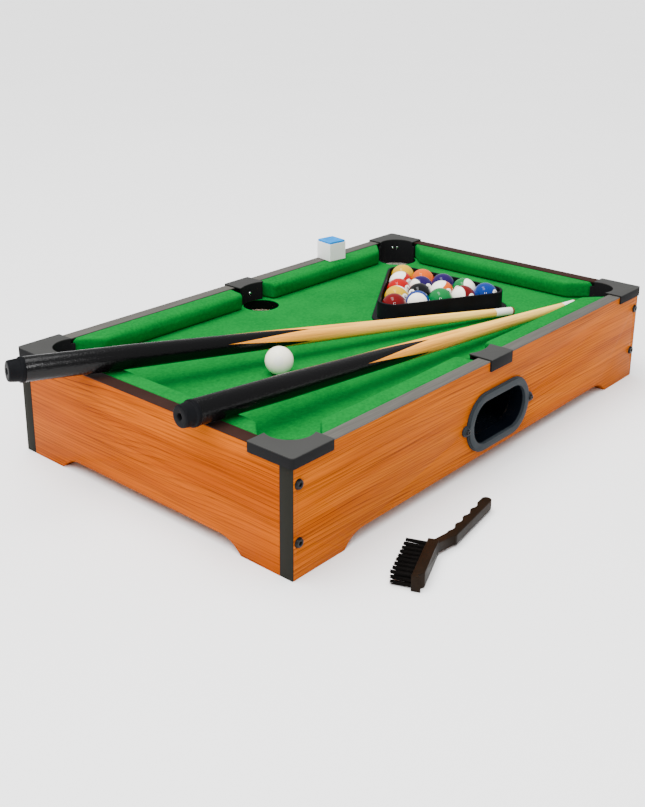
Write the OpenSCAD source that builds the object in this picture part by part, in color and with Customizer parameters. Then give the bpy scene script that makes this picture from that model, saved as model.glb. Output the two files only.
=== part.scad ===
// Mini pool table with its balls, rack, cues, chalk and brush. Millimetres, +Z up.
// The origin is on the standing surface, under the middle of the table; +X runs along the table.

/* [Body] */
// Length over the long panels
body_len = 507; // [450:1:640]
// Width over the long panels
body_wid = 308; // [290:1:400]
// Height of the panels with their edge banding
panel_h = 92; // [90:1:120]
// Thickness of the panels
panel_t = 12; // [9:0.5:16]
// Thickness of the edge banding
edge_t = 1; // [0.6:0.1:2]
// Length of a foot along the long sides
foot_len = 55; // [40:1:80]
// Length of a foot along the short sides
foot_wid = 50; // [40:1:70]
// Height of the arches between the feet
arch_h = 10.5; // [6:0.5:16]
// Radius that the arches spring with
arch_r = 28; // [20:1:40]

/* [Bed and pockets] */
// Depth of the cloth below the panel tops
bed_drop = 17; // [14:0.5:22]
// Thickness of the cloth
cloth_t = 1; // [0.6:0.1:2]
// Thickness of the bed board
board_t = 9; // [6:0.5:12]
// Radius of the corner pockets
corner_pocket_r = 21; // [18:0.5:26]
// Radius of the side pockets
side_pocket_r = 17.5; // [16:0.5:22]
// Board left between a side pocket and the panel
side_pocket_gap = 3.5; // [2:0.5:6]
// Width and height of the battens under the bed
batten_w = 8; // [5:0.5:8]

/* [Cushions] */
// Width of a cushion from the panel to its nose
cushion_w = 20; // [16:0.5:26]
// Radius of the top edge of the nose
nose_r = 4; // [1:0.5:6]
// How far the face leans back under the nose
undercut = 1.5; // [0.5:0.5:3]
// How much shorter the nose is than the back at a corner pocket
corner_slant = 22; // [8:1:24]
// How much shorter the nose is than the back at a side pocket
side_slant = 4; // [0:1:8]
// Room between a corner pocket's middle and the end of a cushion's back
corner_room = 9; // [9:1:20]

/* [Pocket caps] */
// Thickness of the caps' plates
cap_t = 1.5; // [1:0.1:3]
// How far the caps stand out from the panels
cap_over = 1.5; // [1:0.1:3]
// Depth of the corner caps' skirts
corner_skirt = 7; // [4:0.5:12]
// How far a corner cap reaches past the pocket's middle
cap_reach = 8; // [5:0.5:10]
// Radius of the corner caps' outer corner
cap_round = 3; // [2:0.5:4]
// Width of the side caps
side_cap_w = 32; // [28:1:34]
// Depth of the hollow in a side cap's inner edge
side_cap_dip = 3; // [2:0.5:5]
// Depth of the side caps' skirts
side_skirt = 9; // [5:0.5:14]
// Thickness of the pocket liners
liner_t = 1.5; // [1:0.1:2.5]
// How far the liners hang below the cloth
liner_dip = 9; // [3:0.5:9]

/* [Ball return] */
// Width of the opening
port_w = 79; // [60:1:95]
// Height of the opening
port_h = 37.6; // [32:0.1:40]
// Height of the opening's middle
port_z = 41; // [38:0.5:46]
// Width of the bezel's rim
bezel_rim = 7.2; // [5:0.1:10]
// Thickness of the bezel's rim
bezel_t = 3; // [2:0.1:5]
// Wall of the bezel's collar
collar_t = 1.6; // [1:0.1:2.5]
// Depth of the tray behind the opening
tray_depth = 50; // [40:1:70]
// Wall of the tray
tray_t = 1.5; // [1:0.1:3]
// Thickness of the ramps and the chute
ramp_t = 3; // [2:0.5:5]
// Fall of a side ramp over its length
ramp_fall = 5.5; // [3:0.5:6]
// Fall of the middle chute over its length
chute_fall = 6; // [3:0.5:7]
// Width of the bearers
bearer_t = 6; // [4:0.5:9]
// Height of the bearers
bearer_h = 20; // [14:1:22]

/* [Screws] */
// Radius of the corner screws
screw_r = 1.75; // [1.25:0.05:2.5]
// Length of the corner screws
screw_len = 28; // [20:1:40]
// Radius of the corner screws' heads
screw_head_r = 4; // [3:0.1:5]
// Height of the lower corner screws
screw_low_z = 28; // [22:1:40]
// Height of the upper corner screws
screw_high_z = 72; // [55:1:78]

/* [Balls and rack] */
// Diameter of the balls
ball_d = 24; // [20:0.5:24]
// Distance between the middles of racked balls
ball_pitch = 24.6; // [24.5:0.1:25]
// Height of the rack
rack_h = 18; // [12:0.5:22]
// Wall of the rack
rack_t = 2.5; // [1.5:0.1:4]
// Slack between the balls and the rack
rack_slack = 1.5; // [0.5:0.1:3]
// Width of the rack's flange
flange_w = 5; // [2:0.5:8]
// Thickness of the rack's flange
flange_t = 1.5; // [1:0.1:3]
// Turn of the rack on the bed
rack_turn = 2.3; // [-5:0.1:5]

/* [Cues] */
// Length of a cue
cue_len = 482; // [460:1:500]
// Radius of a cue's butt
butt_r = 9.8; // [7:0.1:11]
// Radius of a cue at its ferrule
tip_r = 3.9; // [3:0.1:5]
// Length of the butt before the taper starts
butt_len = 100; // [60:1:160]
// Length of a ferrule
ferrule_len = 19.5; // [8:0.5:30]
// Length of a leather tip
leather_len = 3; // [2:0.5:6]
// Length of a rubber bumper
bumper_len = 12.5; // [10:0.5:20]

/* [Chalk and brush] */
// Side of the chalk block
chalk_w = 20.6; // [16:0.1:25]
// Height of the chalk's paper label
label_h = 18.5; // [12:0.5:20]
// Length of the brush's head
head_len = 52; // [50:1:70]
// Width of the brush's head
head_w = 8; // [6:0.5:12]
// Thickness of the brush's head
head_t = 12; // [10:0.5:16]
// Thickness of the brush's handle
handle_t = 8; // [6:0.5:10]
// Length of the bristles
bristle_len = 16; // [10:0.5:24]

/* [Hidden] */
$fn = 48;
rest_gap = 0.3;  // under a piece that lies loose on another
bed_fit = 0.2;   // between the bed and the panels
liner_fit = 0.5; // between a liner and the hole that it hangs through
wall_fit = 0.1;  // between a liner and the panels
screw_fit = 0.05;
collar_fit = 0.2;
cut = 1;         // extra depth of a cut past a face
swell = 0.02;    // a round end is this much larger in radius than the bar that it closes

half_l = body_len / 2;
half_w = body_wid / 2;
in_x = half_l - panel_t;
in_y = half_w - panel_t;
nose_x = in_x - cushion_w;
nose_y = in_y - cushion_w;
bed_z = panel_h - bed_drop;
board_z = bed_z - cloth_t - board_t;

corner_liner_r = corner_pocket_r - liner_fit;
corner_in = corner_liner_r + wall_fit;
pocket_x = in_x - corner_in;
pocket_y = in_y - corner_in;
side_liner_r = side_pocket_r - liner_fit;
side_y = in_y - side_pocket_r - side_pocket_gap;
corner_mouth = corner_in + corner_room;
side_mouth = side_pocket_r + liner_fit;
cap_leg = cap_over + panel_t + corner_in + cap_reach;

tray_z = port_z - port_h / 2 - collar_fit;
tray_half = port_w / 2 + 0.5;
chute_half = tray_half + tray_t + 1.5;
chute_low = tray_z + 5;
chute_high = chute_low + chute_fall;
ramp_low = chute_high + 2;
ramp_high = ramp_low + ramp_fall;
tray_top = board_z - 2;

screw_x = half_l - panel_t / 2;
cap_screw_r = 1;
cap_screw_len = 14;
cap_screw_z = panel_h - 8;
cap_screw_spread = 8; // degrees either side of a corner's diagonal
bezel_screw_r = 1.5;
ear_r = 4.5;
ear_x = port_w / 2 + bezel_rim + 1.8;

ball_r = ball_d / 2;
ball_z = bed_z + rest_gap + ball_r;
row_step = ball_pitch * sqrt(3) / 2;
// The rows of the triangle, from the base to the apex
rack_rows = [[1, 5, 4, 14, 2], [11, 12, 13, 15], [3, 8, 6], [9, 10], [7]];
rack_x = nose_x - 107.5;
rack_y = 2.5;
rack_corner = 13;  // inside radius of the rack's corners
rack_in = 2 * ball_pitch / sqrt(3) + ball_r + rack_slack;
rack_core = 2 * (rack_in - rack_corner);
cue_ball_x = 101 - nose_x;
cue_ball_y = -nose_y + 105;

// Each cue crosses the left end cushion's nose at this distance from the front cushions' nose
cue_a_cross = 172.3;
cue_b_cross = 46.7;
// Length of each cue that lies outside the nose
cue_a_out = 95.7;
cue_b_out = 55.4;
cue_a_turn = -19.67;
cue_b_turn = -5;

chalk_x = in_x - 111.5;
chalk_y = in_y - 0.5;
chalk_turn = -9;
label_t = 0.4;
brush_x = -half_l + 70;
brush_y = -half_w - 60;
brush_turn = 23;
tufts = 9;
tuft_r = 1.8;
tuft_pitch = 5.4;

woodgrain = "#c8641e";
edging_grey = "#45453f";
felt_green = "#12963a";
black_plastic = "#232427";
pale_board = "#e9e4d8";
bare_wood = "#d9b27c";
ball_colours = ["#e8c020", "#1d3f9e", "#c8202a", "#4a2470", "#e8662a", "#0f7a42", "#8a1d28", "#1c1c1e",
    "#e8c020", "#1d3f9e", "#c8202a", "#4a2470", "#e8662a", "#0f7a42", "#8a1d28"];

// A flat shape in X and Z, made solid from y0 to y1
module along_y(y0, y1) {
    translate([0, y1, 0]) rotate([90, 0, 0]) linear_extrude(y1 - y0) children();
}

// A flat shape whose X runs along Y, made solid from x0 to x1
module along_x(x0, x1) {
    translate([x0, 0, 0]) rotate([90, 0, 90]) linear_extrude(x1 - x0) children();
}

module both_x() {
    children();
    mirror([1, 0, 0]) children();
}

module both_y() {
    children();
    mirror([0, 1, 0]) children();
}

// A slot with round ends
module stadium(w, h) {
    square([w - h, h], center = true);
    for (s = [-1, 1]) translate([s * (w - h) / 2, 0]) circle(h / 2);
}

// ---- Casing ----

// The space under a panel between its two feet, for a panel of half length half and feet of length foot
module arch(half, foot) {
    spring = sqrt(pow(arch_r, 2) - pow(arch_r - arch_h, 2));
    flat = half - foot - spring;
    translate([-flat, -cut]) square([2 * flat, arch_h + cut]);
    for (s = [-1, 1]) translate([s * flat, arch_h - arch_r]) circle(arch_r);
}

module panel_outline(half, foot) {
    difference() {
        translate([-half, 0]) square([2 * half, panel_h - edge_t]);
        arch(half, foot);
    }
}

module corner_screw_places() {
    both_x() both_y() for (z = [screw_low_z, screw_high_z])
        translate([screw_x, half_w, z]) rotate([90, 0, 0]) children();
}

module corner_screw_holes() {
    corner_screw_places() translate([0, 0, -cut]) cylinder(h = screw_len + cut, r = screw_r + screw_fit);
}

// Where the liners' screws start, with +Z pointing outwards
module cap_screw_places() {
    both_x() both_y() for (s = [-1, 1])
        translate([pocket_x, pocket_y, cap_screw_z]) rotate([0, 0, 45 + s * cap_screw_spread])
            translate([corner_liner_r - liner_t, 0, 0]) rotate([0, 90, 0]) children();
    both_y() translate([0, side_y + side_liner_r - liner_t, cap_screw_z]) rotate([-90, 0, 0]) children();
}

module cap_screw_holes() {
    cap_screw_places() translate([0, 0, -cut]) cylinder(h = cap_screw_len + cut, r = cap_screw_r + screw_fit);
}

module bezel_screw_places() {
    both_x() translate([ear_x, -half_w - bezel_t, port_z]) rotate([-90, 0, 0]) children();
}

module long_panel() {
    difference() {
        along_y(in_y, half_w) panel_outline(half_l - edge_t, foot_len - edge_t);
        corner_screw_holes();
        cap_screw_holes();
    }
}

module front_panel() {
    color(woodgrain) difference() {
        mirror([0, 1, 0]) long_panel();
        along_y(-half_w - cut, -in_y + cut) translate([0, port_z])
            stadium(port_w + 2 * (collar_t + collar_fit), port_h + 2 * (collar_t + collar_fit));
        bezel_screw_places() cylinder(h = screw_len / 2, r = bezel_screw_r + screw_fit);
    }
}

module back_panel() {
    color(woodgrain) long_panel();
}

module end_panel() {
    color(woodgrain) difference() {
        along_x(in_x, half_l) panel_outline(in_y, foot_wid - panel_t);
        corner_screw_holes();
        cap_screw_holes();
    }
}

module long_edging() {
    color(edging_grey) both_y() {
        translate([-half_l, in_y, panel_h - edge_t]) cube([body_len, panel_t, edge_t]);
        both_x() translate([half_l - edge_t, in_y, 0]) cube([edge_t, panel_t, panel_h - edge_t]);
    }
}

module end_edging() {
    color(edging_grey) both_x() translate([in_x, -in_y, panel_h - edge_t]) cube([panel_t, 2 * in_y, edge_t]);
}

module corner_screws() {
    color("#1b1b1c") corner_screw_places() {
        cylinder(h = screw_len, r = screw_r);
        difference() {
            translate([0, 0, -1.8]) cylinder(h = 1.8, r1 = screw_head_r - 0.8, r2 = screw_head_r);
            translate([0, 0, -2.8]) cylinder(h = 2.2, r = screw_head_r * 0.42, $fn = 6);
        }
    }
}

// ---- Bed ----

// The table's inside with its six pockets cut out
module bed_outline() {
    difference() {
        square(2 * [in_x - bed_fit, in_y - bed_fit], center = true);
        both_x() both_y() {
            translate([pocket_x, pocket_y]) circle(corner_pocket_r);
            translate([pocket_x, pocket_y]) square(corner_in + cut);
        }
        both_y() translate([0, side_y]) circle(side_pocket_r);
    }
}

module bed_board() {
    color(bare_wood) translate([0, 0, board_z]) linear_extrude(board_t) bed_outline();
}

module bed_cloth() {
    color(felt_green) translate([0, 0, bed_z - cloth_t]) linear_extrude(cloth_t) bed_outline();
}

// Battens fixed to the panels, stopping short of the pockets and the ball return
module bed_battens() {
    corner_stop = corner_in + corner_pocket_r + 4;
    side_stop = max(side_pocket_r + 7, chute_half + 4);
    color(bare_wood) {
        both_x() both_y() translate([side_stop, in_y - batten_w, board_z - batten_w])
            cube([in_x - corner_stop - side_stop, batten_w, batten_w]);
        both_x() translate([in_x - batten_w, -in_y + corner_stop, board_z - batten_w])
            cube([batten_w, 2 * (in_y - corner_stop), batten_w]);
    }
}

// ---- Cushions ----

// A cushion's section: its back at 0, its nose at cushion_w
module cushion_section() {
    h = bed_drop;
    square([cushion_w - nose_r, h]);
    polygon([[0, 0], [cushion_w - undercut, 0], [cushion_w, h - nose_r], [0, h - nose_r]]);
    translate([cushion_w - nose_r, h - nose_r]) circle(nose_r);
}

// A cushion along X from a to b at its back, on the +Y side; the nose is shorter by cut_a and cut_b
module cushion(back, a, b, cut_a, cut_b) {
    color(felt_green) intersection() {
        translate([0, back, bed_z]) rotate([90, 0, 90]) mirror([1, 0, 0])
            translate([0, 0, a]) linear_extrude(b - a) cushion_section();
        translate([0, 0, bed_z - cut]) linear_extrude(bed_drop + 2 * cut)
            polygon([[a, back], [b, back], [b - cut_b, back - cushion_w - 0.01],
                [a + cut_a, back - cushion_w - 0.01]]);
    }
}

module long_cushion() {
    cushion(in_y, side_mouth, in_x - corner_mouth, side_slant, corner_slant);
}

module end_cushion() {
    rotate([0, 0, -90]) cushion(in_x, -in_y + corner_mouth, in_y - corner_mouth, corner_slant, corner_slant);
}

// ---- Pocket caps ----

// An upright sector of radius r, spanning half degrees either side of +X, that a liner is cut from.
// It reaches into the plate above.
module liner_block(r, half) {
    translate([0, 0, bed_z - liner_dip]) rotate([0, 0, -half])
        rotate_extrude(angle = 2 * half) square([r, bed_drop + liner_dip + cap_t / 2]);
}

// A square corner with its outer corner rounded, at [0, 0], growing towards -X and -Y
module corner_square(side, r) {
    translate([-side, -side]) square([side - r, side]);
    translate([-side, -side]) square([side, side - r]);
    translate([-r, -r]) circle(r);
}

// A corner liner's ends stand lower where they come out from under the plate
module corner_liner_block() {
    low_z = panel_h - 3.5;
    edge = 0.3 - cap_reach;
    translate([pocket_x, pocket_y, 0]) difference() {
        rotate([0, 0, 45]) liner_block(corner_liner_r, 80);
        translate([edge - 2 * corner_liner_r, -corner_liner_r - cut, low_z])
            cube([2 * corner_liner_r, 2 * corner_liner_r + 2 * cut, panel_h]);
        translate([-corner_liner_r - cut, edge - 2 * corner_liner_r, low_z])
            cube([2 * corner_liner_r + 2 * cut, 2 * corner_liner_r, panel_h]);
    }
}

module corner_cap() {
    color(black_plastic) difference() {
        union() {
            difference() {
                translate([half_l + cap_over, half_w + cap_over, panel_h - corner_skirt])
                    linear_extrude(corner_skirt + cap_t) corner_square(cap_leg, cap_round);
                translate([half_l - cap_leg - cut, half_w - cap_leg - cut, panel_h - corner_skirt - cut])
                    cube([cap_leg + cut, cap_leg + cut, corner_skirt + cut]);
            }
            corner_liner_block();
        }
        translate([pocket_x, pocket_y, 0]) cylinder(h = 2 * panel_h, r = corner_liner_r - liner_t);
        cap_screw_holes();
    }
}

// A side cap's plate runs out to its liner, and one hollow face goes through both
module side_cap() {
    face_y = side_y + side_liner_r - liner_t;
    edge_y = face_y - side_cap_dip;
    half = side_cap_w / 2 - 2; // half the hollow's width
    sweep = (half * half + side_cap_dip * side_cap_dip) / (2 * side_cap_dip);
    color(black_plastic) difference() {
        union() {
            difference() {
                translate([-side_cap_w / 2, edge_y, panel_h - side_skirt])
                    cube([side_cap_w, half_w + cap_over - edge_y, side_skirt + cap_t]);
                translate([-side_cap_w, edge_y - cut, panel_h - side_skirt - cut])
                    cube([2 * side_cap_w, half_w - edge_y + cut, side_skirt + cut]);
            }
            intersection() {
                translate([0, face_y - sweep, bed_z + rest_gap])
                    cylinder(h = bed_drop - rest_gap + cap_t / 2, r = sweep + liner_t);
                translate([-half - 1.2, edge_y + 0.1, 0]) cube([2 * half + 2.4, 2 * sweep, 2 * panel_h]);
            }
        }
        translate([0, face_y - sweep, 0]) cylinder(h = 2 * panel_h, r = sweep);
        cap_screw_holes();
    }
}

// The heads stand just clear of the liners' hollow faces
module cap_screws() {
    color("silver") cap_screw_places() {
        translate([0, 0, -0.2]) cylinder(h = cap_screw_len, r = cap_screw_r);
        translate([0, 0, -1]) cylinder(h = 0.88, r1 = 1.1, r2 = 1.7);
    }
}

// ---- Ball return ----

module return_bezel() {
    color(black_plastic) difference() {
        union() {
            along_y(-half_w - bezel_t * 0.6, -half_w) translate([0, port_z]) {
                stadium(port_w + 2 * bezel_rim, port_h + 2 * bezel_rim);
                for (s = [-1, 1]) translate([s * ear_x, 0]) circle(ear_r);
            }
            along_y(-half_w - bezel_t, -half_w - bezel_t * 0.6) translate([0, port_z]) {
                stadium(port_w + 2 * bezel_rim - 2, port_h + 2 * bezel_rim - 2);
                for (s = [-1, 1]) translate([s * ear_x, 0]) circle(ear_r - 1);
            }
            along_y(-half_w, -in_y) translate([0, port_z])
                stadium(port_w + 2 * collar_t, port_h + 2 * collar_t);
        }
        along_y(-half_w - bezel_t - cut, -in_y + cut) translate([0, port_z]) stadium(port_w, port_h);
        bezel_screw_places() translate([0, 0, -cut]) cylinder(h = screw_len, r = bezel_screw_r + screw_fit);
    }
}

module bezel_screws() {
    color("#1b1b1c") bezel_screw_places() {
        cylinder(h = panel_t, r = bezel_screw_r);
        difference() {
            translate([0, 0, -1.4]) cylinder(h = 1.4, r1 = 2.1, r2 = 2.8);
            translate([0, 0, -2.4]) cylinder(h = 1.8, r = 1.1, $fn = 6);
        }
    }
}

// An open-topped tray with the port's opening in its front and a low sill at its back
module return_tray() {
    y0 = -in_y;
    y1 = -in_y + tray_depth;
    out = tray_half + tray_t;
    color("#1f2226") difference() {
        translate([-out, y0, tray_z - tray_t]) cube([2 * out, tray_depth, tray_top - tray_z + tray_t]);
        translate([-tray_half, y0 + tray_t, tray_z]) cube([2 * tray_half, tray_depth - 2 * tray_t, tray_top]);
        translate([-tray_half, y1 - tray_t - cut, chute_low - 1])
            cube([2 * tray_half, tray_t + 2 * cut, tray_top]);
        along_y(y0 - cut, y0 + tray_t + cut) translate([0, port_z]) stadium(port_w, port_h);
    }
}

module ramp() {
    x0 = chute_half;
    x1 = in_x - bed_fit;
    color(pale_board) along_y(-in_y + bed_fit, in_y - bed_fit)
        polygon([[x0, ramp_low - ramp_t], [x1, ramp_high - ramp_t], [x1, ramp_high], [x0, ramp_low]]);
}

module center_chute() {
    y0 = -in_y + tray_depth;
    y1 = in_y - bed_fit;
    color(pale_board) along_x(-chute_half, chute_half)
        polygon([[y0, chute_low - ramp_t], [y1, chute_high - ramp_t], [y1, chute_high], [y0, chute_low]]);
}

module chute_bearers() {
    color(bare_wood) both_x() translate([chute_half, -in_y, ramp_low - ramp_t - bearer_h])
        cube([bearer_t, 2 * in_y, bearer_h]);
}

module ramp_battens() {
    top = ramp_high - ramp_t - ramp_fall * batten_w / (in_x - bed_fit - chute_half);
    color(bare_wood) both_x() translate([in_x - batten_w, -in_y + foot_wid, top - batten_w])
        cube([batten_w, 2 * (in_y - foot_wid), batten_w]);
}

// ---- Balls and rack ----

// A triangle with round corners of radius r about points at distance core from its middle, apex to -X
module round_triangle(core, r) {
    polygon([for (a = [60, 180, 300]) for (s = [-60, 60])
        core * [cos(a), sin(a)] + r * [cos(a + s), sin(a + s)]]);
    for (a = [60, 180, 300]) translate(core * [cos(a), sin(a)]) circle(r + swell);
}

module rack() {
    color(black_plastic) translate([rack_x, rack_y, bed_z + rest_gap]) rotate(rack_turn) difference() {
        union() {
            linear_extrude(rack_h) round_triangle(rack_core, rack_corner + rack_t);
            linear_extrude(flange_t) round_triangle(rack_core, rack_corner + rack_t + flange_w);
        }
        translate([0, 0, -cut]) linear_extrude(rack_h + 2 * cut) round_triangle(rack_core, rack_corner);
    }
}

// A racked ball's place in the triangle
function ball_place(n) = [for (r = [0 : 4]) for (k = [0 : 4 - r]) if (rack_rows[r][k] == n)
    [2 * ball_pitch / sqrt(3) - r * row_step, ball_pitch * (2 - r / 2 - k)]][0];

module ball(n) {
    p = ball_place(n);
    color(ball_colours[n - 1]) translate([rack_x, rack_y, ball_z]) rotate([0, 0, rack_turn])
        translate([p[0], p[1], 0]) sphere(r = ball_r);
}

module cue_ball() {
    color("ivory") translate([cue_ball_x, cue_ball_y, ball_z]) sphere(r = ball_r);
}

// ---- Cues ----

// Puts a cue whose butt end is at the origin and whose tip points to +Z onto the cushion and the bed
module lay_cue(cross, out, turn) {
    reach = cue_len - out;
    nose_z = panel_h + rest_gap + 0.1 + butt_r;
    tip_z = bed_z + rest_gap + tip_r;
    tilt = asin((nose_z - tip_z) / reach);
    translate([-nose_x, -nose_y + cross, nose_z]) rotate([0, 0, turn]) rotate([0, 90 + tilt, 0])
        translate([0, 0, -out]) children();
}

module cue_shaft() {
    end = cue_len - leather_len - ferrule_len;
    color("#dcae74") rotate_extrude() polygon([[0, bumper_len], [butt_r, bumper_len], [butt_r, butt_len],
        [tip_r + 0.1, end], [0, end]]);
}

module cue_ferrule() {
    color("#f4f1ea") translate([0, 0, cue_len - leather_len - ferrule_len])
        cylinder(h = ferrule_len, r = tip_r);
}

module cue_tip() {
    color("#6b3a24") translate([0, 0, cue_len - leather_len]) rotate_extrude() intersection() {
        square([tip_r, leather_len]);
        translate([0, leather_len - 2 * tip_r]) circle(2 * tip_r);
    }
}

module cue_bumper() {
    ring = butt_r + 0.3;
    color("#202122") rotate_extrude() polygon([[2.6, 0], [7.4, 0], [8.3, 0.8], [9.1, bumper_len - 4],
        [ring, bumper_len - 3.2], [ring, bumper_len], [0, bumper_len], [0, bumper_len / 2],
        [2.6, bumper_len / 2]]);
}

// ---- Chalk and brush ----

module lay_chalk() {
    translate([chalk_x, chalk_y, panel_h + rest_gap]) rotate([0, 0, chalk_turn]) children();
}

module chalk_block() {
    dish = 16;
    color("#3f86c8") lay_chalk() difference() {
        translate([-chalk_w / 2, -chalk_w / 2, 0]) cube(chalk_w);
        translate([0, 0, chalk_w + dish - 1.6]) sphere(r = dish);
    }
}

module chalk_label() {
    outer = chalk_w + 2 * label_t;
    color("#f3f3f1") lay_chalk() linear_extrude(label_h) difference() {
        square(outer, center = true);
        square(chalk_w, center = true);
    }
}

// The brush lies on its side: its head along X, its bristles to +Y, its handle at the +X end
module lay_brush() {
    translate([brush_x, brush_y, 0]) rotate([0, 0, brush_turn]) children();
}

// A bar of width w between two points, with round ends
module bar(p, q, w) {
    d = (q - p) / norm(q - p);
    n = [-d[1], d[0]] * w / 2;
    polygon([p + n, p - n, q - n, q + n]);
    for (c = [p, q]) translate(c) circle(w / 2 + swell);
}

module brush_handle() {
    neck = [head_len / 2 - 4, 0.5];
    bend = [head_len / 2 + 15.5, -10.5];
    end = [head_len / 2 + 73, -25];
    way = (end - bend) / norm(end - bend);
    side = [-way[1], way[0]];
    color("#241d1a") lay_brush() {
        difference() {
            translate([-head_len / 2, -head_w / 2, 0]) cube([head_len, head_w, head_t]);
            translate([-head_len / 2, -head_w / 2, 0]) rotate([0, 0, 45])
                translate([-5, -5, -cut]) cube([10, 5.8, head_t + 2 * cut]);
        }
        translate([0, 0, (head_t - handle_t) / 2]) linear_extrude(handle_t) difference() {
            union() {
                bar(neck, bend, 6.5);
                bar(bend, end, 8);
            }
            for (k = [0 : 3]) translate(bend + way * (7 + k * 13) + side * 10.2) circle(8);
        }
    }
}

module brush_bristles() {
    color("#141211") lay_brush() for (i = [0 : tufts - 1]) for (j = [-1, 0, 1])
        translate([(i - (tufts - 1) / 2) * tuft_pitch, head_w / 2, 0])
            translate([0, 0, head_t / 2 + j * (head_t / 2 - tuft_r - 0.3)])
                rotate([-90, 0, 0]) cylinder(h = bristle_len, r = tuft_r);
}

front_panel();
back_panel();
mirror([1, 0, 0]) end_panel();  // left_end_panel
end_panel();  // right_end_panel
long_edging();
end_edging();
corner_screws();
bed_board();
bed_cloth();
bed_battens();
rotate([0, 0, 180]) long_cushion();  // cushion_front_left
mirror([0, 1, 0]) long_cushion();  // cushion_front_right
mirror([1, 0, 0]) long_cushion();  // cushion_back_left
long_cushion();  // cushion_back_right
mirror([1, 0, 0]) end_cushion();  // cushion_left
end_cushion();  // cushion_right
rotate([0, 0, 180]) corner_cap();  // cap_front_left
mirror([0, 1, 0]) corner_cap();  // cap_front_right
mirror([1, 0, 0]) corner_cap();  // cap_back_left
corner_cap();  // cap_back_right
mirror([0, 1, 0]) side_cap();  // cap_front_side
side_cap();  // cap_back_side
cap_screws();
return_bezel();
bezel_screws();
return_tray();
mirror([1, 0, 0]) ramp();  // left_ramp
ramp();  // right_ramp
center_chute();
chute_bearers();
ramp_battens();
rack();
ball(1);  // ball_1
ball(2);  // ball_2
ball(3);  // ball_3
ball(4);  // ball_4
ball(5);  // ball_5
ball(6);  // ball_6
ball(7);  // ball_7
ball(8);  // ball_8
ball(9);  // ball_9
ball(10);  // ball_10
ball(11);  // ball_11
ball(12);  // ball_12
ball(13);  // ball_13
ball(14);  // ball_14
ball(15);  // ball_15
cue_ball();
lay_cue(cue_a_cross, cue_a_out, cue_a_turn) cue_shaft();  // cue_a_shaft
lay_cue(cue_a_cross, cue_a_out, cue_a_turn) cue_ferrule();  // cue_a_ferrule
lay_cue(cue_a_cross, cue_a_out, cue_a_turn) cue_tip();  // cue_a_tip
lay_cue(cue_a_cross, cue_a_out, cue_a_turn) cue_bumper();  // cue_a_bumper
lay_cue(cue_b_cross, cue_b_out, cue_b_turn) cue_shaft();  // cue_b_shaft
lay_cue(cue_b_cross, cue_b_out, cue_b_turn) cue_ferrule();  // cue_b_ferrule
lay_cue(cue_b_cross, cue_b_out, cue_b_turn) cue_tip();  // cue_b_tip
lay_cue(cue_b_cross, cue_b_out, cue_b_turn) cue_bumper();  // cue_b_bumper
chalk_block();
chalk_label();
brush_handle();
brush_bristles();
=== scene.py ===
# Tabletop pool table set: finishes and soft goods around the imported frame. Metres, +Z up, +X along the table.
import math
import random

import bpy
from mathutils import Matrix, Vector


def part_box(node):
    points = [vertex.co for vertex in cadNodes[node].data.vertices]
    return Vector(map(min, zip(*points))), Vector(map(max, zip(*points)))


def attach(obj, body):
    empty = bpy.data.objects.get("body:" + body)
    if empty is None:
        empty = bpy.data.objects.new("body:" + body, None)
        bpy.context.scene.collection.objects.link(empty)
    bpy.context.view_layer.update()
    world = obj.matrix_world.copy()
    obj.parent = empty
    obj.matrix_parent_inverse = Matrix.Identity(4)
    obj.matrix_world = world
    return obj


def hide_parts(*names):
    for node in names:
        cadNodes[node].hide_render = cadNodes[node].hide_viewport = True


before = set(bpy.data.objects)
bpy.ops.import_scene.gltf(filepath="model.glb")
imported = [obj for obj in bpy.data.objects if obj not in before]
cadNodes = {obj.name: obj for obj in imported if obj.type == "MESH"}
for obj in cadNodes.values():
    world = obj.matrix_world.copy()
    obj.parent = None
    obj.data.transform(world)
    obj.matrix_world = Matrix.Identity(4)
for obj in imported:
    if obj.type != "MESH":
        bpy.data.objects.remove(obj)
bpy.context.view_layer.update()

mm = 0.001


# Camera, floor and lights

cameraSetup = {
    "place": (-0.7230, -0.5863, 0.4105),
    "heading": -49.06,  # degrees from +Y
    "down": 18.09,
    "roll": 0.42,
    "lens": 48.13,
    "shiftY": -0.1283,
}

studio = {
    "world": (1.0, 1.0, 1.0, 1),
    "worldStrength": 0.7,
    "sky": (-0.35, 0.25, 2.0),  # where the soft light from above stands
    "skyStrength": 6.0,
    "skyAngle": 70,             # degrees; the wider, the softer
    # name, place, aimed at, width, height, watts
    "lamps": [
        ("overheadSoftbox", (-0.3, 0.3, 1.8), (0, 0, 0.05), 1.2, 0.5, 14),
        ("leftStrip", (-1.056, -0.585, 1.05), (0, 0, 0.08), 0.07, 0.5, 6),
        ("rightStrip", (-0.792, -0.911, 1.05), (0, 0, 0.08), 0.07, 0.5, 6),
    ],
}


def makeCamera(setup):
    turn = Matrix.Rotation(math.radians(setup["heading"]), 4, "Z")
    tip = Matrix.Rotation(math.radians(90 - setup["down"]), 4, "X")
    roll = Matrix.Rotation(math.radians(setup["roll"]), 4, "Z")
    camera = bpy.data.objects.new("camera", bpy.data.cameras.new("camera"))
    bpy.context.scene.collection.objects.link(camera)
    camera.matrix_world = Matrix.Translation(setup["place"]) @ turn @ tip @ roll
    camera.data.lens = setup["lens"]
    camera.data.sensor_width = 36
    camera.data.shift_y = setup["shiftY"]
    camera.data.clip_end = 60
    bpy.context.scene.camera = camera


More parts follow.
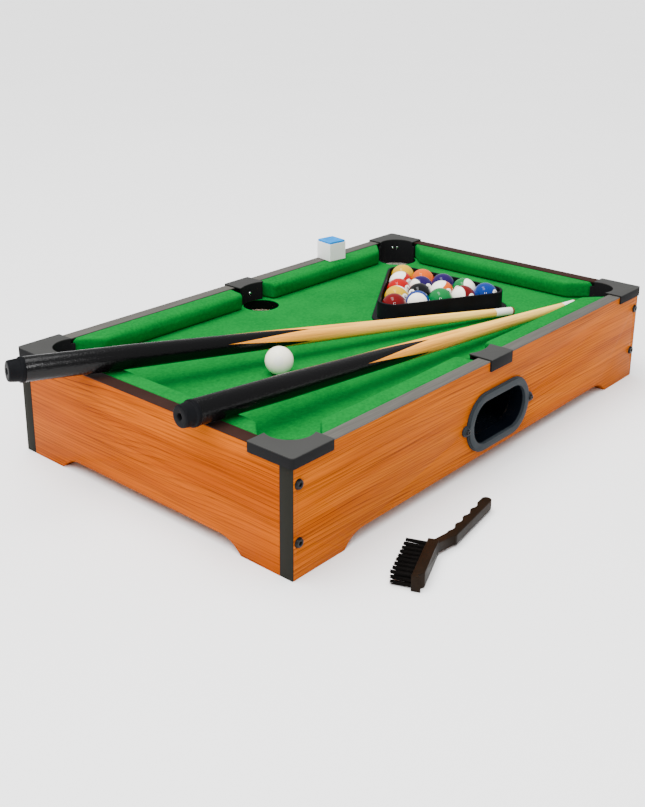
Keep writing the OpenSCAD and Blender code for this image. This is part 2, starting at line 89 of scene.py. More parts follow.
def makeStudio(setup):
    world = bpy.data.worlds.new("studioWorld")
    bpy.context.scene.world = world
    world.use_nodes = True
    background = world.node_tree.nodes["Background"]
    background.inputs["Color"].default_value = setup["world"]
    background.inputs["Strength"].default_value = setup["worldStrength"]
    sky = bpy.data.lights.new("softSky", "SUN")
    sky.energy = setup["skyStrength"]
    sky.angle = math.radians(setup["skyAngle"])
    holder = bpy.data.objects.new("softSky", sky)
    bpy.context.scene.collection.objects.link(holder)
    holder.rotation_euler = (-Vector(setup["sky"])).to_track_quat("-Z", "Y").to_euler()
    holder.visible_glossy = False  # its wide disc would show as pale patches in the balls
    for name, place, target, width, height, watts in setup["lamps"]:
        lamp = bpy.data.lights.new(name, "AREA")
        lamp.shape = "RECTANGLE"
        lamp.size = width
        lamp.size_y = height
        lamp.energy = watts
        holder = bpy.data.objects.new(name, lamp)
        bpy.context.scene.collection.objects.link(holder)
        holder.location = place
        holder.rotation_euler = (Vector(target) - Vector(place)).to_track_quat("-Z", "Y").to_euler()


# Modelling helpers

def pickNone():
    if bpy.context.object and bpy.context.object.mode != "OBJECT":
        bpy.ops.object.mode_set(mode="OBJECT")
    bpy.ops.object.select_all(action="DESELECT")


def pickOnly(piece):
    pickNone()
    piece.select_set(True)
    bpy.context.view_layer.objects.active = piece


def addModifier(piece, kind, **settings):
    pickOnly(piece)
    modifier = piece.modifiers.new(kind.lower(), kind)
    for name, value in settings.items():
        setattr(modifier, name, value)
    bpy.ops.object.modifier_apply(modifier=modifier.name)


def mergedCopy(node, name):
    piece = bpy.data.objects.new(name, cadNodes[node].data.copy())
    bpy.context.scene.collection.objects.link(piece)
    piece.data.materials.clear()
    pickOnly(piece)
    bpy.ops.object.mode_set(mode="EDIT")
    bpy.ops.mesh.select_all(action="SELECT")
    bpy.ops.mesh.customdata_custom_splitnormals_clear()
    bpy.ops.mesh.remove_doubles(threshold=2e-6)
    bpy.ops.mesh.dissolve_limited(angle_limit=math.radians(0.5))
    bpy.ops.object.mode_set(mode="OBJECT")
    return piece


def easedCopy(node, name, width, segments=2, sharpest=32):
    piece = mergedCopy(node, name)
    addModifier(piece, "BEVEL", width=width * mm, segments=segments, limit_method="ANGLE",
                angle_limit=math.radians(sharpest))
    pickOnly(piece)
    bpy.ops.object.shade_smooth_by_angle(angle=math.radians(34))
    return piece


def pieceName(node):
    words = node.split("_")
    return words[0] + "".join(w.title() for w in words[1:])


def bakePlace(piece):
    pickOnly(piece)
    bpy.ops.object.transform_apply(location=True, rotation=True, scale=True)


def place(piece, body, finish, slot, *stoodFor):
    piece.data.materials.clear()
    piece.data.materials.append(finish)
    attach(piece, body)
    if stoodFor:
        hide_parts(*stoodFor)
    return piece


def finishNode(node, finish):
    data = cadNodes[node].data
    for slot in range(len(data.materials)):
        data.materials[slot] = finish
    if not data.materials:
        data.materials.append(finish)


# Finishes

def paint(code):
    channels = [int(code[i:i + 2], 16) / 255 for i in (0, 2, 4)]
    return [c / 12.92 if c <= 0.04045 else ((c + 0.055) / 1.055) ** 2.4 for c in channels] + [1.0]


def newFinish(name, fixed):
    finish = bpy.data.materials.new(name)
    finish.use_nodes = True
    tree = finish.node_tree
    shader = tree.nodes["Principled BSDF"]
    for socket, value in fixed.items():
        shader.inputs[socket].default_value = value
    return finish, tree, shader


def addNode(tree, kind, sockets=(), **settings):
    made = tree.nodes.new(kind)
    for name, value in settings.items():
        setattr(made, name, value)
    for socket, value in dict(sockets).items():
        if isinstance(value, bpy.types.NodeSocket):
            tree.links.new(value, made.inputs[socket])
        else:
            made.inputs[socket].default_value = value
    return made


def objectPlace(tree, scale=(1, 1, 1), location=(0, 0, 0), rotation=(0, 0, 0), kind="POINT"):
    coordinates = addNode(tree, "ShaderNodeTexCoord").outputs["Object"]
    return addNode(tree, "ShaderNodeMapping",
                   {"Vector": coordinates, "Scale": scale, "Location": location, "Rotation": rotation},
                   vector_type=kind).outputs[0]


def noiseOf(tree, vector, scale, detail=2.0, roughness=0.5, distortion=0.0):
    return addNode(tree, "ShaderNodeTexNoise", {"Vector": vector, "Scale": scale, "Detail": detail,
                                                "Roughness": roughness, "Distortion": distortion}).outputs[0]


def spread(tree, value, low, high, toLow=0.0, toHigh=1.0):
    return addNode(tree, "ShaderNodeMapRange", {0: value, 1: low, 2: high, 3: toLow, 4: toHigh}).outputs[0]


def sums(tree, operation, a, b=0.0, c=0.0):
    return addNode(tree, "ShaderNodeMath", {0: a, 1: b, 2: c}, operation=operation).outputs[0]


def mixed(tree, share, a, b):
    return addNode(tree, "ShaderNodeMix", {0: share, 6: a, 7: b}, data_type="RGBA").outputs[2]


def bump(tree, shader, height, strength, distance):
    made = addNode(tree, "ShaderNodeBump", {"Height": height, "Strength": strength, "Distance": distance})
    tree.links.new(made.outputs[0], shader.inputs["Normal"])


woodFoil = {
    "roughness": 0.45,
    "pores": 1300.0,    # fine streaks a metre across the grain
    "rings": 300.0,     # growth lines a metre up the panel
    "figure": 12.0,     # how many growth lines the figure bends through
    "sharpness": 5.0,   # the higher, the thinner the growth lines
    "insideY": 0.1423,  # nearer the middle than this a long panel is unfaced
    "insideX": 0.2418,  # and an end panel
    "boardTop": 0.068,  # above this the unfaced side is painted near-black as shade in the pocket holes
    "insideLow": "f4f1ea",
    "insideHigh": "0a120c",
}


def stretched(tree, alongX, along, across):
    return objectPlace(tree, (along, across, across) if alongX else (across, along, across))


def foilFinish(name, look, alongX, light, dark, line):
    finish, tree, shader = newFinish(name, {"Roughness": look["roughness"], "Specular IOR Level": 0.02})
    fine = noiseOf(tree, stretched(tree, alongX, 10, look["pores"]), 1.0, 3.0, 0.65)
    figure = noiseOf(tree, stretched(tree, alongX, 2.6, 15), 1.0, 2.0, 0.5, 0.2)
    rise = addNode(tree, "ShaderNodeSeparateXYZ", {0: objectPlace(tree)}).outputs[2]
    rings = sums(tree, "MULTIPLY_ADD", rise, look["rings"], sums(tree, "MULTIPLY", figure, look["figure"]))
    ringLine = sums(tree, "POWER", sums(tree, "FRACT", rings), look["sharpness"])
    breaks = spread(tree, noiseOf(tree, stretched(tree, alongX, 9, 160), 1.0, 2.0), 0.35, 0.65)
    tone = noiseOf(tree, stretched(tree, alongX, 5, 70), 1.0, 2.0)
    base = mixed(tree, spread(tree, tone, 0.3, 0.7), paint(light), paint(dark))
    lined = mixed(tree, sums(tree, "MULTIPLY", ringLine, breaks), base, paint(line))
    pores = spread(tree, fine, 0.46, 0.72, 0.0, 0.7)
    outside = mixed(tree, pores, lined, paint(line))
    parts = addNode(tree, "ShaderNodeSeparateXYZ", {0: objectPlace(tree)}).outputs
    reach = sums(tree, "ABSOLUTE", parts[1 if alongX else 0])
    within = sums(tree, "LESS_THAN", reach, look["insideY"] if alongX else look["insideX"])
    aboveBed = sums(tree, "GREATER_THAN", parts[2], look["boardTop"])
    # Above the board top the unfaced side is painted near-black as shade in the pocket holes
    inside = mixed(tree, aboveBed, paint(look["insideLow"]), paint(look["insideHigh"]))
    tree.links.new(mixed(tree, within, outside, inside), shader.inputs["Base Color"])
    bump(tree, shader, fine, 0.12, 0.0001)
    return finish


feltLook = {
    "light": "007a30",
    "mid": "006828",
    "dark": "004d1c",
    "roughness": 0.95,
}


def feltFinish(name, look):
    finish, tree, shader = newFinish(name, {"Roughness": look["roughness"], "Sheen Weight": 0.06,
                                            "Sheen Roughness": 0.6, "Sheen Tint": paint("3a9050"),
                                            "Specular IOR Level": 0.02})
    spot = objectPlace(tree)
    fibres = noiseOf(tree, spot, 1500.0, 3.0, 0.7)
    mottle = noiseOf(tree, spot, 420.0, 3.0, 0.6)
    clouds = noiseOf(tree, spot, 22.0, 2.0, 0.5)
    base = mixed(tree, spread(tree, mottle, 0.3, 0.7), paint(look["dark"]), paint(look["light"]))
    base = mixed(tree, 0.5, base, paint(look["mid"]))
    base = mixed(tree, spread(tree, clouds, 0.35, 0.65, 0.0, 0.35), base, paint(look["light"]))
    tree.links.new(mixed(tree, spread(tree, fibres, 0.35, 0.75, 0.0, 0.3), base, paint(look["dark"])),
                   shader.inputs["Base Color"])
    bump(tree, shader, sums(tree, "ADD", fibres, mottle), 0.35, 0.0004)
    return finish


def mouldedFinish(name, colour, roughness, grain=1800.0, depth=0.00005, wear=None, metallic=0.0, gloss=0.15):
    finish, tree, shader = newFinish(name, {"Metallic": metallic, "Specular IOR Level": gloss})
    spot = objectPlace(tree)
    skin = noiseOf(tree, spot, grain, 2.0, 0.6)
    patches = noiseOf(tree, spot, 60.0, 3.0, 0.6)
    shade = mixed(tree, spread(tree, patches, 0.3, 0.7), paint(colour), paint(wear or colour))
    tree.links.new(shade, shader.inputs["Base Color"])
    tree.links.new(spread(tree, patches, 0.25, 0.75, roughness - 0.06, roughness + 0.08),
                   shader.inputs["Roughness"])
    bump(tree, shader, skin, 0.4, depth)
    return finish


# Two colours split along one axis, used to paint light and shade onto one plastic
def twoToneFinish(name, axis, low, high, before, after, roughness, gloss):
    finish, tree, shader = newFinish(name, {"Roughness": roughness, "Specular IOR Level": gloss})
    spot = objectPlace(tree)
    along = addNode(tree, "ShaderNodeSeparateXYZ", {0: spot}).outputs[axis]
    skin = noiseOf(tree, spot, 1800.0, 2.0, 0.6)
    tree.links.new(mixed(tree, spread(tree, along, low, high), paint(before), paint(after)),
                   shader.inputs["Base Color"])
    bump(tree, shader, skin, 0.3, 0.00004)
    return finish


def bandFinish(name, top, ends, reach):
    # The top strip is painted lighter as a sheen of light from above; beyond reach the vertical ends keep the
    # band's dark grey
    finish, tree, shader = newFinish(name, {"Roughness": 0.6, "Specular IOR Level": 0.04})
    along = addNode(tree, "ShaderNodeSeparateXYZ", {0: objectPlace(tree)}).outputs[0]
    atEnd = sums(tree, "GREATER_THAN", sums(tree, "ABSOLUTE", along), reach)
    grain = noiseOf(tree, objectPlace(tree, (30, 900, 300)), 1.0, 2.0)
    shade = mixed(tree, atEnd, paint(top), paint(ends))
    tree.links.new(mixed(tree, spread(tree, grain, 0.3, 0.7, 0.0, 0.3), shade, paint(ends)),
                   shader.inputs["Base Color"])
    bump(tree, shader, grain, 0.2, 0.0001)
    return finish


bareGrain = (14, 420, 420)  # streaks a metre along and across bare boards


def boardFinish(name, pockets):
    finish, tree, shader = newFinish(name, {"Roughness": 0.8, "Specular IOR Level": 0.03})
    spot = addNode(tree, "ShaderNodeVectorMath", {0: objectPlace(tree, (1, 1, 0))},
                   operation="ABSOLUTE").outputs[0]
    nearest = 1.0
    for x, y, radius in pockets:
        away = addNode(tree, "ShaderNodeVectorMath", {0: spot, 1: (x, y, 0)},
                       operation="DISTANCE").outputs["Value"]
        nearest = sums(tree, "MINIMUM", sums(tree, "SUBTRACT", away, radius), nearest)
    grain = noiseOf(tree, objectPlace(tree, bareGrain), 1.0, 3.0, 0.6)
    wood = mixed(tree, grain, paint("d9b27c"), paint("c39a63"))
    # Near the pocket holes the board is painted near-black as shade in the holes
    rim = spread(tree, nearest, 0.001, 0.003)
    tree.links.new(mixed(tree, rim, paint("060a07"), wood), shader.inputs["Base Color"])
    return finish


def bareWoodFinish(name, light, dark):
    finish, tree, shader = newFinish(name, {"Roughness": 0.7})
    grain = noiseOf(tree, objectPlace(tree, bareGrain), 1.0, 3.0, 0.6)
    tree.links.new(mixed(tree, spread(tree, grain, 0.3, 0.7), paint(light), paint(dark)),
                   shader.inputs["Base Color"])
    bump(tree, shader, grain, 0.3, 0.0002)
    return finish


# Studio

makeCamera(cameraSetup)
makeStudio(studio)
pickNone()
bpy.ops.mesh.primitive_plane_add(size=60, location=(0, 0, -0.0002))
floor = bpy.context.object
floor.name = "floor"
floorFinish, floorTree, floorShader = newFinish("paleFloor", {"Roughness": 0.75, "Specular IOR Level": 0.2})
floorShade = noiseOf(floorTree, objectPlace(floorTree), 3.0)
floorTree.links.new(mixed(floorTree, floorShade, paint("fbfbfb"), paint("f7f7f7")),
                    floorShader.inputs["Base Color"])
floor.data.materials.append(floorFinish)
print("studio ready")

# Casing

casing = {"edge": 0.35, "edgingEdge": 0.25}

frontFoil = foilFinish("frontFoil", woodFoil, True, "ba6008", "a04a04", "4e1c00")
endFoil = foilFinish("endFoil", woodFoil, False, "ba5a00", "a04600", "562000")
# Long edging: its top is painted lighter as sheen, its vertical ends stay dark
edgeBand = bandFinish("edgeBand", "53514d", "1f1f1b", 0.2522)
topBand = mouldedFinish("topBand", "2e1d19", 0.5, wear="281a16", gloss=0.03)
place(easedCopy("front_panel", "frontPanel", casing["edge"]), "table", frontFoil, "woodgrain", "front_panel")
place(easedCopy("back_panel", "backPanel", casing["edge"]), "table", frontFoil, "woodgrain", "back_panel")
for side in ("left", "right"):
    place(easedCopy(side + "_end_panel", side + "EndPanel", casing["edge"]), "table", endFoil, "woodgrain",
          side + "_end_panel")
place(easedCopy("long_edging", "longEdging", casing["edgingEdge"]), "table", edgeBand, "edging",
      "long_edging")
place(easedCopy("end_edging", "endEdging", casing["edgingEdge"]), "table", topBand, "edging", "end_edging")
blackSteel = mouldedFinish("blackSteel", "1c1c1d", 0.35, metallic=0.6)
place(easedCopy("corner_screws", "cornerScrews", 0.2), "table", blackSteel, "black_screws", "corner_screws")
print("casing ready")

# Bed and cushions

felt = feltFinish("felt", feltLook)
cushionFelt = feltFinish("cushionFelt", feltLook)
pockets = [(0.2209, 0.1214, 0.021), (0.0, 0.121, 0.0175)]  # x, y and radius of those in one quarter
boardWood = boardFinish("boardWood", pockets)
battenWood = bareWoodFinish("battenWood", "dcb883", "c8a06a")
finishNode("bed_board", boardWood)
finishNode("bed_battens", battenWood)
bedCloth = easedCopy("bed_cloth", "bedCloth", 0.45, 3)
place(bedCloth, "table", felt, "cloth", "bed_cloth")

cushionLook = {
    "edge": 2.2,          # mm, before any simulation
    "segments": 4,
    "voxel": 2.4 * mm,
    "shrink": 0.5 * mm,   # the start is smaller by this
    "travel": 0.6 * mm,   # and no point moves further than this
    "held": 1.6 * mm,     # within this of the panel or the bed it is fixed
    "pressure": 4.0,
    "frames": 20,
}


def padCushion(piece, look):
    pickOnly(piece)
    addModifier(piece, "REMESH", mode="VOXEL", voxel_size=look["voxel"])
    mesh = piece.data
    lows = [min(v.co[i] for v in mesh.vertices) for i in range(3)]
    highs = [max(v.co[i] for v in mesh.vertices) for i in range(3)]
    acrossAxis = 1 if highs[0] - lows[0] > highs[1] - lows[1] else 0
    backAt = max(highs[acrossAxis], -lows[acrossAxis])
    held = [v.index for v in mesh.vertices
            if v.co.z < lows[2] + look["held"] or abs(v.co[acrossAxis]) > backAt - look["held"]]
    fixed = set(held)
    group = piece.vertex_groups.new(name="held")
    group.add(held, 1.0, "REPLACE")
    addModifier(piece, "SMOOTH", factor=0.5, iterations=2, vertex_group="held", invert_vertex_group=True)
    normals = [v.normal.copy() for v in mesh.vertices]
    for v in mesh.vertices:
        if v.index not in fixed:
            v.co -= normals[v.index] * look["shrink"]
        elif v.co.z > highs[2] - look["held"]:
            v.co.z = highs[2]  # the back's top edge stays crisp against the rail
    start = [v.co.copy() for v in mesh.vertices]
    cloth = piece.modifiers.new("cloth", "CLOTH")
    settings = cloth.settings
    settings.quality = 5
    settings.mass = 0.15
    settings.tension_stiffness = 15
    settings.compression_stiffness = 15
    settings.bending_stiffness = 0.5
    settings.use_pressure = True
    settings.uniform_pressure_force = look["pressure"]
    settings.vertex_group_mass = "held"
    settings.effector_weights.gravity = 0
    cloth.point_cache.frame_start = 1
    cloth.point_cache.frame_end = look["frames"]
    for frameNumber in range(1, look["frames"] + 1):
        bpy.context.scene.frame_set(frameNumber)
    blown = piece.evaluated_get(bpy.context.evaluated_depsgraph_get()).data
    ends = [v.co.copy() for v in blown.vertices]
    piece.modifiers.remove(cloth)
    bpy.context.scene.frame_set(1)
    for v, a, b in zip(mesh.vertices, start, ends):
        move = b - a
        if v.index not in fixed and move.length > 0:
            v.co = a + move * min(1.0, look["travel"] / move.length)
    piece.vertex_groups.clear()
    addModifier(piece, "SUBSURF", levels=1, subdivision_type="CATMULL_CLARK")
    pickOnly(piece)
    bpy.ops.object.shade_smooth()


for node in sorted(cadNodes):
    if node.startswith("cushion_"):
        piece = easedCopy(node, pieceName(node), cushionLook["edge"], cushionLook["segments"])
        padCushion(piece, cushionLook)
        place(piece, "table", cushionFelt, "cushion_cloth", node)
print("bed ready")

# Caps and screws

capLook = {
    "skirtEnd": 0.0925,    # height where the skirts' painted shade starts to give way
    "plateStart": 0.0933,  # and where the plates' painted light is reached
    "skirt": "19191a",
    "plate": "393938",
    "edge": 0.5,
}
# One black plastic: the plates are painted lighter as light from above, the skirts darker as shade
capPlastic = twoToneFinish("capPlastic", 2, capLook["skirtEnd"], capLook["plateStart"], capLook["skirt"],
                           capLook["plate"], roughness=0.5, gloss=0.02)
silverSteel = mouldedFinish("silverSteel", "e4e6ea", 0.18, metallic=1.0)
for node in sorted(cadNodes):
    if node.startswith("cap_") and node != "cap_screws":
        place(easedCopy(node, pieceName(node), capLook["edge"], 3), "table", capPlastic, "caps", node)
place(easedCopy("cap_screws", "capScrews", 0.15), "table", silverSteel, "cap_screws", "cap_screws")

# Ball return

bezelLook = {
    "rimEnd": -0.1545,       # the rim stands out of the panel, and the collar, painted near-black as shade inside the port, runs back from it
    "collarStart": -0.1538,
    "rim": "2a2f33",
    "collar": "04070d",
    "edge": 0.5,
}
# The collar is painted near-black as shade inside the port; the rim keeps the plastic's own dark grey
bezelPlastic = twoToneFinish("bezelPlastic", 1, bezelLook["rimEnd"], bezelLook["collarStart"],
                             bezelLook["rim"], bezelLook["collar"], roughness=0.4, gloss=0.04)
trayPlastic = mouldedFinish("trayPlastic", "05070c", 0.25, gloss=0.12)
paleBoard = bareWoodFinish("paleBoard", "fbf9f4", "f1eee7")
bezel = easedCopy("return_bezel", "returnBezel", bezelLook["edge"], 3)
place(bezel, "table", bezelPlastic, "bezel", "return_bezel")
place(easedCopy("bezel_screws", "bezelScrews", 0.15), "table", blackSteel, "black_screws", "bezel_screws")
finishNode("return_tray", trayPlastic)
for node in ("left_ramp", "right_ramp", "center_chute"):
    finishNode(node, paleBoard)
for node in ("chute_bearers", "ramp_battens"):
    finishNode(node, battenWood)
print("caps and ball return ready")

# Rack and balls

rackPlastic = mouldedFinish("rackPlastic", "0b0c0f", 0.4, wear="101114", gloss=0.05)
place(easedCopy("rack", "ballRack", 0.4, 3), "rack", rackPlastic, "rack", "rack")

ballLook = {
    "white": "fbf8f0",
    "band": 0.6,      # half the coloured band of a striped ball, as a share of the radius
    "disc": 0.94,     # cosine of the number disc's half angle
    "digit": 4.6,     # height of a number, mm
    "lift": 0.04,     # how far a number stands off the ball, mm
    "sink": 0.12,     # how far it goes in
    "single": 1.35,   # a one-figure number's size against the height
    "double": 1.1,
    "segments": 48,
    "rings": 24,
}

# number: colour, slot, striped, where the disc (solid) or the white cap (striped) faces
# (as right, up, towards)
ballFaces = {
    1: ("c49a00", "ball_yellow", False, (-0.6, -0.7, 0.4)),
    2: ("052c74", "ball_blue", False, (0.75, 0.1, 0.65)),
    3: ("a00004", "ball_red", False, (0.72, 0.1, 0.68)),
    4: ("1e0a48", "ball_purple", False, (0.6, -0.45, 0.65)),
    5: ("c45200", "ball_orange", False, (-0.3, -0.8, 0.5)),
    6: ("006a32", "ball_green", False, (-0.15, -0.55, 0.82)),
    7: ("5e0408", "ball_maroon", False, (-0.6, -0.8, 0.1)),
    8: ("0c0c0e", "ball_black", False, (-0.72, 0.15, 0.68)),
    9: ("c49a00", "ball_yellow", True, (-0.5, -0.75, 0.45)),
    10: ("052c74", "ball_blue", True, (-0.1, 0.0, 1.0)),
    11: ("a00004", "ball_red", True, (-0.5, 0.75, 0.45)),
    12: ("1e0a48", "ball_purple", True, (-0.8, -0.1, 0.55)),
    13: ("c45200", "ball_orange", True, (-0.55, 0.75, 0.3)),
    14: ("006a32", "ball_green", True, (0.7, 0.3, 0.6)),
    15: ("5e0408", "ball_maroon", True, (-0.75, 0.15, 0.62)),
}
viewRight = Vector((0.657, -0.7539, 0.007))
viewUp = Vector((0.2297, 0.209, 0.9506))
viewBack = Vector((-0.7181, -0.6229, 0.3105))


def facing(words):
    return (viewRight * words[0] + viewUp * words[1] + viewBack * words[2]).normalized()


def centreOf(node):
    low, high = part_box(node)
    return (low + high) / 2


def ballFinish(name, look, colour, striped, centre, capAxis, discAxis):
    finish, tree, shader = newFinish(name, {"Roughness": 0.06, "Specular IOR Level": 0.3})
    spot = objectPlace(tree, location=tuple(-c for c in centre))
    unit = addNode(tree, "ShaderNodeVectorMath", {0: spot}, operation="NORMALIZE").outputs[0]
    disc = addNode(tree, "ShaderNodeVectorMath", {0: unit, 1: tuple(discAxis)}, operation="DOT_PRODUCT")
    facingDisc = sums(tree, "ABSOLUTE", disc.outputs["Value"])
    whiteShare = spread(tree, facingDisc, look["disc"] - 0.004, look["disc"] + 0.004)
    if striped:
        cap = addNode(tree, "ShaderNodeVectorMath", {0: unit, 1: tuple(capAxis)}, operation="DOT_PRODUCT")
        away = sums(tree, "ABSOLUTE", cap.outputs["Value"])
        capShare = spread(tree, away, look["band"] - 0.008, look["band"] + 0.008)
        whiteShare = sums(tree, "MAXIMUM", whiteShare, capShare)
    cloud = noiseOf(tree, spot, 180.0, 2.0)
    white = mixed(tree, cloud, paint(look["white"]), paint("f4efe2"))
    tree.links.new(mixed(tree, whiteShare, paint(colour), white), shader.inputs["Base Color"])
    return finish


def makeBall(node, name):
    centre = centreOf(node)
    low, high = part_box(node)
    radius = (high.z - low.z) / 2
    pickNone()
    bpy.ops.mesh.primitive_uv_sphere_add(segments=ballLook["segments"], ring_count=ballLook["rings"],
                                         radius=radius, location=centre)
    ball = bpy.context.object
    ball.name = name
    bpy.ops.object.shade_smooth()
    bakePlace(ball)
    return ball, centre, radius


def makeNumber(number, name, centre, radius, axis):
    pickNone()
    bpy.ops.object.text_add(location=(0, 0, 0))
    words = bpy.context.object
    words.data.body = str(number)
    words.data.size = ballLook["digit"] * mm * (ballLook["single"] if number < 10 else ballLook["double"])
    words.data.align_x = "CENTER"
    words.data.align_y = "CENTER"
    words.data.resolution_u = 2
    bpy.ops.object.convert(target="MESH")
    digit = bpy.context.object
    digit.name = name
    bpy.ops.object.mode_set(mode="EDIT")
    bpy.ops.mesh.select_all(action="SELECT")
    bpy.ops.mesh.remove_doubles(threshold=1e-6)
    bpy.ops.mesh.quads_convert_to_tris()
    bpy.ops.mesh.subdivide(number_cuts=3)
    bpy.ops.object.mode_set(mode="OBJECT")
    middleX = sum(v.co.x for v in digit.data.vertices) / len(digit.data.vertices)
    across = Vector((0, 0, 1)).cross(axis).normalized()
    upward = axis.cross(across).normalized()
    for vertex in digit.data.vertices:
        away = axis * radius + across * (vertex.co.x - middleX) + upward * vertex.co.y
        vertex.co = centre + away.normalized() * (radius + ballLook["lift"] * mm)
    addModifier(digit, "SOLIDIFY", thickness=(ballLook["lift"] + ballLook["sink"]) * mm, offset=-1)
    return digit


numberInk = mouldedFinish("numberInk", "0a0a0a", 0.3, gloss=0.1)
for number, (colour, slot, striped, words) in ballFaces.items():
    ball, centre, radius = makeBall("ball_%d" % number, "ball%d" % number)
    axis = facing(words)
    discAxis = axis if not striped else axis.cross(viewUp).normalized()
    finish = ballFinish("ballFinish%d" % number, ballLook, colour, striped, centre, axis, discAxis)
    place(ball, "ball_%d" % number, finish, slot, "ball_%d" % number)
    for side, sense in (("Near", 1), ("Far", -1)):
        digit = makeNumber(number, "number%d%s" % (number, side), centre, radius, discAxis * sense)
        place(digit, "ball_%d" % number, numberInk, "ball_black")

cueBall, cueCentre, _ = makeBall("cue_ball", "cueBall")
ivory = ballFinish("ivory", ballLook, "fffbe6", False, cueCentre, viewUp, -viewBack)
place(cueBall, "cue_ball", ivory, "cue_ball", "cue_ball")
print("rack and balls ready")

# Cues

cueLook = {
    "length": 482 * mm,
    "noseX": -221.5 * mm,
    "noseY": -122 * mm,
    "restZ": 102.2 * mm,
    "tipZ": 79.2 * mm,
    "tongue": 178 * mm,    # where the wood's tongues end in the butt
    "prong": 258 * mm,     # where the butt's prongs end in the wood
    "prongs": 4,
    "facing": -112,        # degrees round the cue to the middle of a tongue
}
# letter: crossing, length outside the cushion, turn
cueLays = {"a": (172.3, 95.7, -19.67), "b": (46.7, 55.4, -5)}


def cueFrame(look, cross, out, turn):
    tilt = math.asin((look["restZ"] - look["tipZ"]) / (look["length"] - out * mm))
    turn = math.radians(turn)
    along = Vector((math.cos(tilt) * math.cos(turn), math.cos(tilt) * math.sin(turn), -math.sin(tilt)))
    rest = Vector((look["noseX"], look["noseY"] + cross * mm, look["restZ"]))
    return rest - along * out * mm, (0, math.pi / 2 + tilt, turn)


def cueFinish(name, look, butt, rotation):
    finish, tree, shader = newFinish(name, {"Coat Weight": 0.05, "Coat Roughness": 0.1,
                                            "Specular IOR Level": 0.16})
    spot = objectPlace(tree, location=butt, rotation=rotation, kind="TEXTURE")
    parts = addNode(tree, "ShaderNodeSeparateXYZ", {0: spot}).outputs
    angle = sums(tree, "ARCTAN2", parts[1], parts[0])
    turns = sums(tree, "MULTIPLY", sums(tree, "SUBTRACT", angle, math.radians(look["facing"])),
                 look["prongs"] / (2 * math.pi))
    wave = sums(tree, "MULTIPLY", sums(tree, "PINGPONG", turns, 0.5), 2.0)
    border = spread(tree, sums(tree, "POWER", wave, 0.8), 0.0, 1.0, look["tongue"], look["prong"])
    past = sums(tree, "SUBTRACT", parts[2], border)
    wood = spread(tree, past, -0.0008, 0.0008)
    grainSpot = addNode(tree, "ShaderNodeMapping", {"Vector": spot, "Scale": (700, 700, 9)}).outputs[0]
    grain = noiseOf(tree, grainSpot, 1.0, 3.0, 0.6)
    warmth = spread(tree, parts[2], look["tongue"], look["length"] * 0.85)
    tone = mixed(tree, warmth, paint("ff9a20"), paint("ffd468"))
    tone = mixed(tree, spread(tree, grain, 0.42, 0.7, 0.0, 0.6), tone, paint("b87020"))
    tree.links.new(mixed(tree, wood, paint("060607"), tone), shader.inputs["Base Color"])
    tree.links.new(spread(tree, wood, 0.0, 1.0, 0.22, 0.45), shader.inputs["Roughness"])
    peel = noiseOf(tree, spot, 600.0, 2.0, 0.5)
    bump(tree, shader, peel, 0.8, 0.0004)
    return finish


ferruleWhite = mouldedFinish("ferruleWhite", "f1eee6", 0.35, wear="e6e2d8")
tipLeather = mouldedFinish("tipLeather", "6b3a24", 0.7, 2500.0, 0.0002, "54291a")
bumperRubber = mouldedFinish("bumperRubber", "0c0c0e", 0.5, 900.0, 0.0001, "111214", gloss=0.04)
for letter, (cross, out, turn) in cueLays.items():
    body = "cue_" + letter
    cap = letter.upper()
    butt, rotation = cueFrame(cueLook, cross, out, turn)
    finish = cueFinish("cueFinish" + cap, cueLook, butt, rotation)
    place(easedCopy(body + "_shaft", "cueShaft" + cap, 0.3, 2), body, finish, "cue_wood", body + "_shaft")
    place(easedCopy(body + "_ferrule", "cueFerrule" + cap, 0.25, 2), body, ferruleWhite, "ferrule",
          body + "_ferrule")
    place(easedCopy(body + "_tip", "cueTip" + cap, 0.3, 2), body, tipLeather, "cue_tip", body + "_tip")
    place(easedCopy(body + "_bumper", "cueBumper" + cap, 0.5, 3), body, bumperRubber, "bumper",
          body + "_bumper")
print("cues ready")

# Chalk and brush

chalkDust = mouldedFinish("chalkDust", "0085d8", 0.9, 1500.0, 0.0004, "0074bc", gloss=0.02)
labelPaper = mouldedFinish("labelPaper", "f5f5f3", 0.6, 2200.0, 0.00005, "eeeeec")
place(easedCopy("chalk_block", "chalkBlock", 0.5, 3), "chalk", chalkDust, "chalk", "chalk_block")
place(easedCopy("chalk_label", "chalkLabel", 0.1, 1), "chalk", labelPaper, "chalk_label", "chalk_label")
brushWood = mouldedFinish("brushWood", "140e09", 0.4, 700.0, 0.0001, "1f160f", gloss=0.04)
bristle = mouldedFinish("bristle", "0a0807", 0.6, gloss=0.05)
place(easedCopy("brush_handle", "brushHandle", 0.9, 4), "brush", brushWood, "brush", "brush_handle")

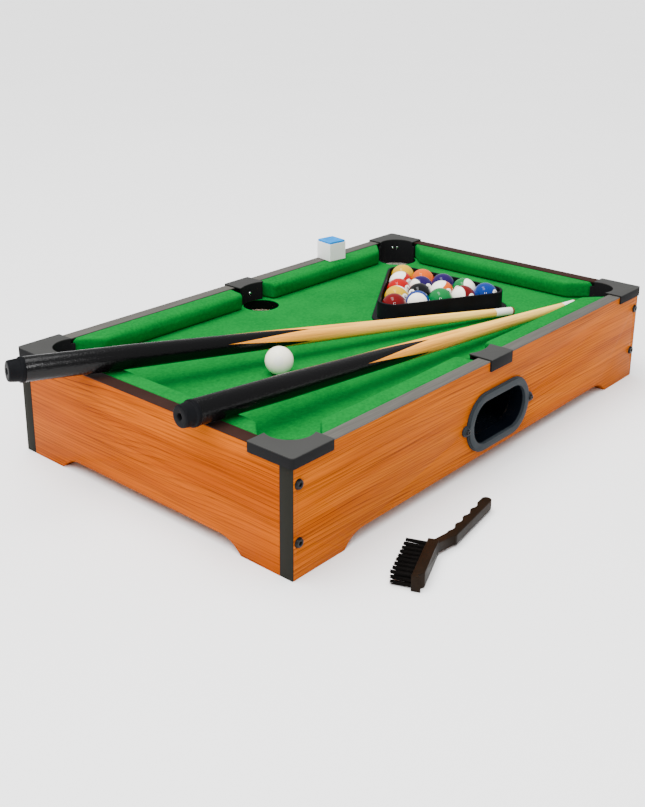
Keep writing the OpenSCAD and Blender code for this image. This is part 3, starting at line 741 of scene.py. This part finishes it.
brushLook = {
    "middle": (-183.5 * mm, -214 * mm),
    "turn": 23,            # degrees
    "tufts": 9,            # along the head, in each of three rows
    "pitch": 5.4 * mm,
    "rowRise": 3.9 * mm,   # from the middle row to the rows beside it
    "root": 4 * mm,        # the head's face that the tufts grow from
    "height": 6 * mm,      # the middle row above the floor
    "length": 16 * mm,
    "tuftRadius": 1.6 * mm,
    "filaments": 24,       # in a tuft
    "thick": 0.32 * mm,
    "spiral": 2.4,         # radians from one filament to the next
    "splay": 0.014,        # most that a filament leans to the side, radians
    "rise": 0.01,          # and up or down
    "shortest": 0.965,     # of the length
    "seed": 7,
}


def makeBristles(look):
    rng = random.Random(look["seed"])
    pickNone()
    bpy.ops.mesh.primitive_cone_add(vertices=4, radius1=look["thick"], radius2=look["thick"] * 0.6,
                                    depth=look["length"], location=(0, 0, 0))
    pattern = bpy.context.object
    verts = [v.co.copy() for v in pattern.data.vertices]
    faces = [tuple(f.vertices) for f in pattern.data.polygons]
    points, polygons = [], []
    placing = (Matrix.Translation((look["middle"][0], look["middle"][1], look["height"]))
               @ Matrix.Rotation(math.radians(look["turn"]), 4, "Z"))
    for column in range(look["tufts"]):
        for row in (-1, 0, 1):
            tuft = Vector(((column - (look["tufts"] - 1) / 2) * look["pitch"], look["root"],
                           row * look["rowRise"]))
            for k in range(look["filaments"]):
                angle = k * look["spiral"]
                out = look["tuftRadius"] * math.sqrt((k + 0.5) / look["filaments"]) * 0.85
                foot = tuft + Vector((math.cos(angle) * out, -0.0004, math.sin(angle) * out))
                lean = (Matrix.Rotation(rng.uniform(-look["splay"], look["splay"]), 4, "Z")
                        @ Matrix.Rotation(rng.uniform(-look["rise"], look["rise"]), 4, "X"))
                short = rng.uniform(look["shortest"], 1.0)
                first = len(points)
                for v in verts:
                    along = Vector((v.x, (v.z + look["length"] / 2) * short, v.y))
                    points.append(placing @ (foot + (lean @ along)))
                polygons += [tuple(first + i for i in f) for f in faces]
    pattern.data.clear_geometry()
    pattern.data.from_pydata(points, [], polygons)
    pickOnly(pattern)
    bpy.ops.object.mode_set(mode="EDIT")
    bpy.ops.mesh.select_all(action="SELECT")
    bpy.ops.mesh.normals_make_consistent(inside=False)
    bpy.ops.object.mode_set(mode="OBJECT")
    pattern.name = "brushBristles"
    return pattern


place(makeBristles(brushLook), "brush", bristle, "bristles", "brush_bristles")
print("chalk and brush ready")
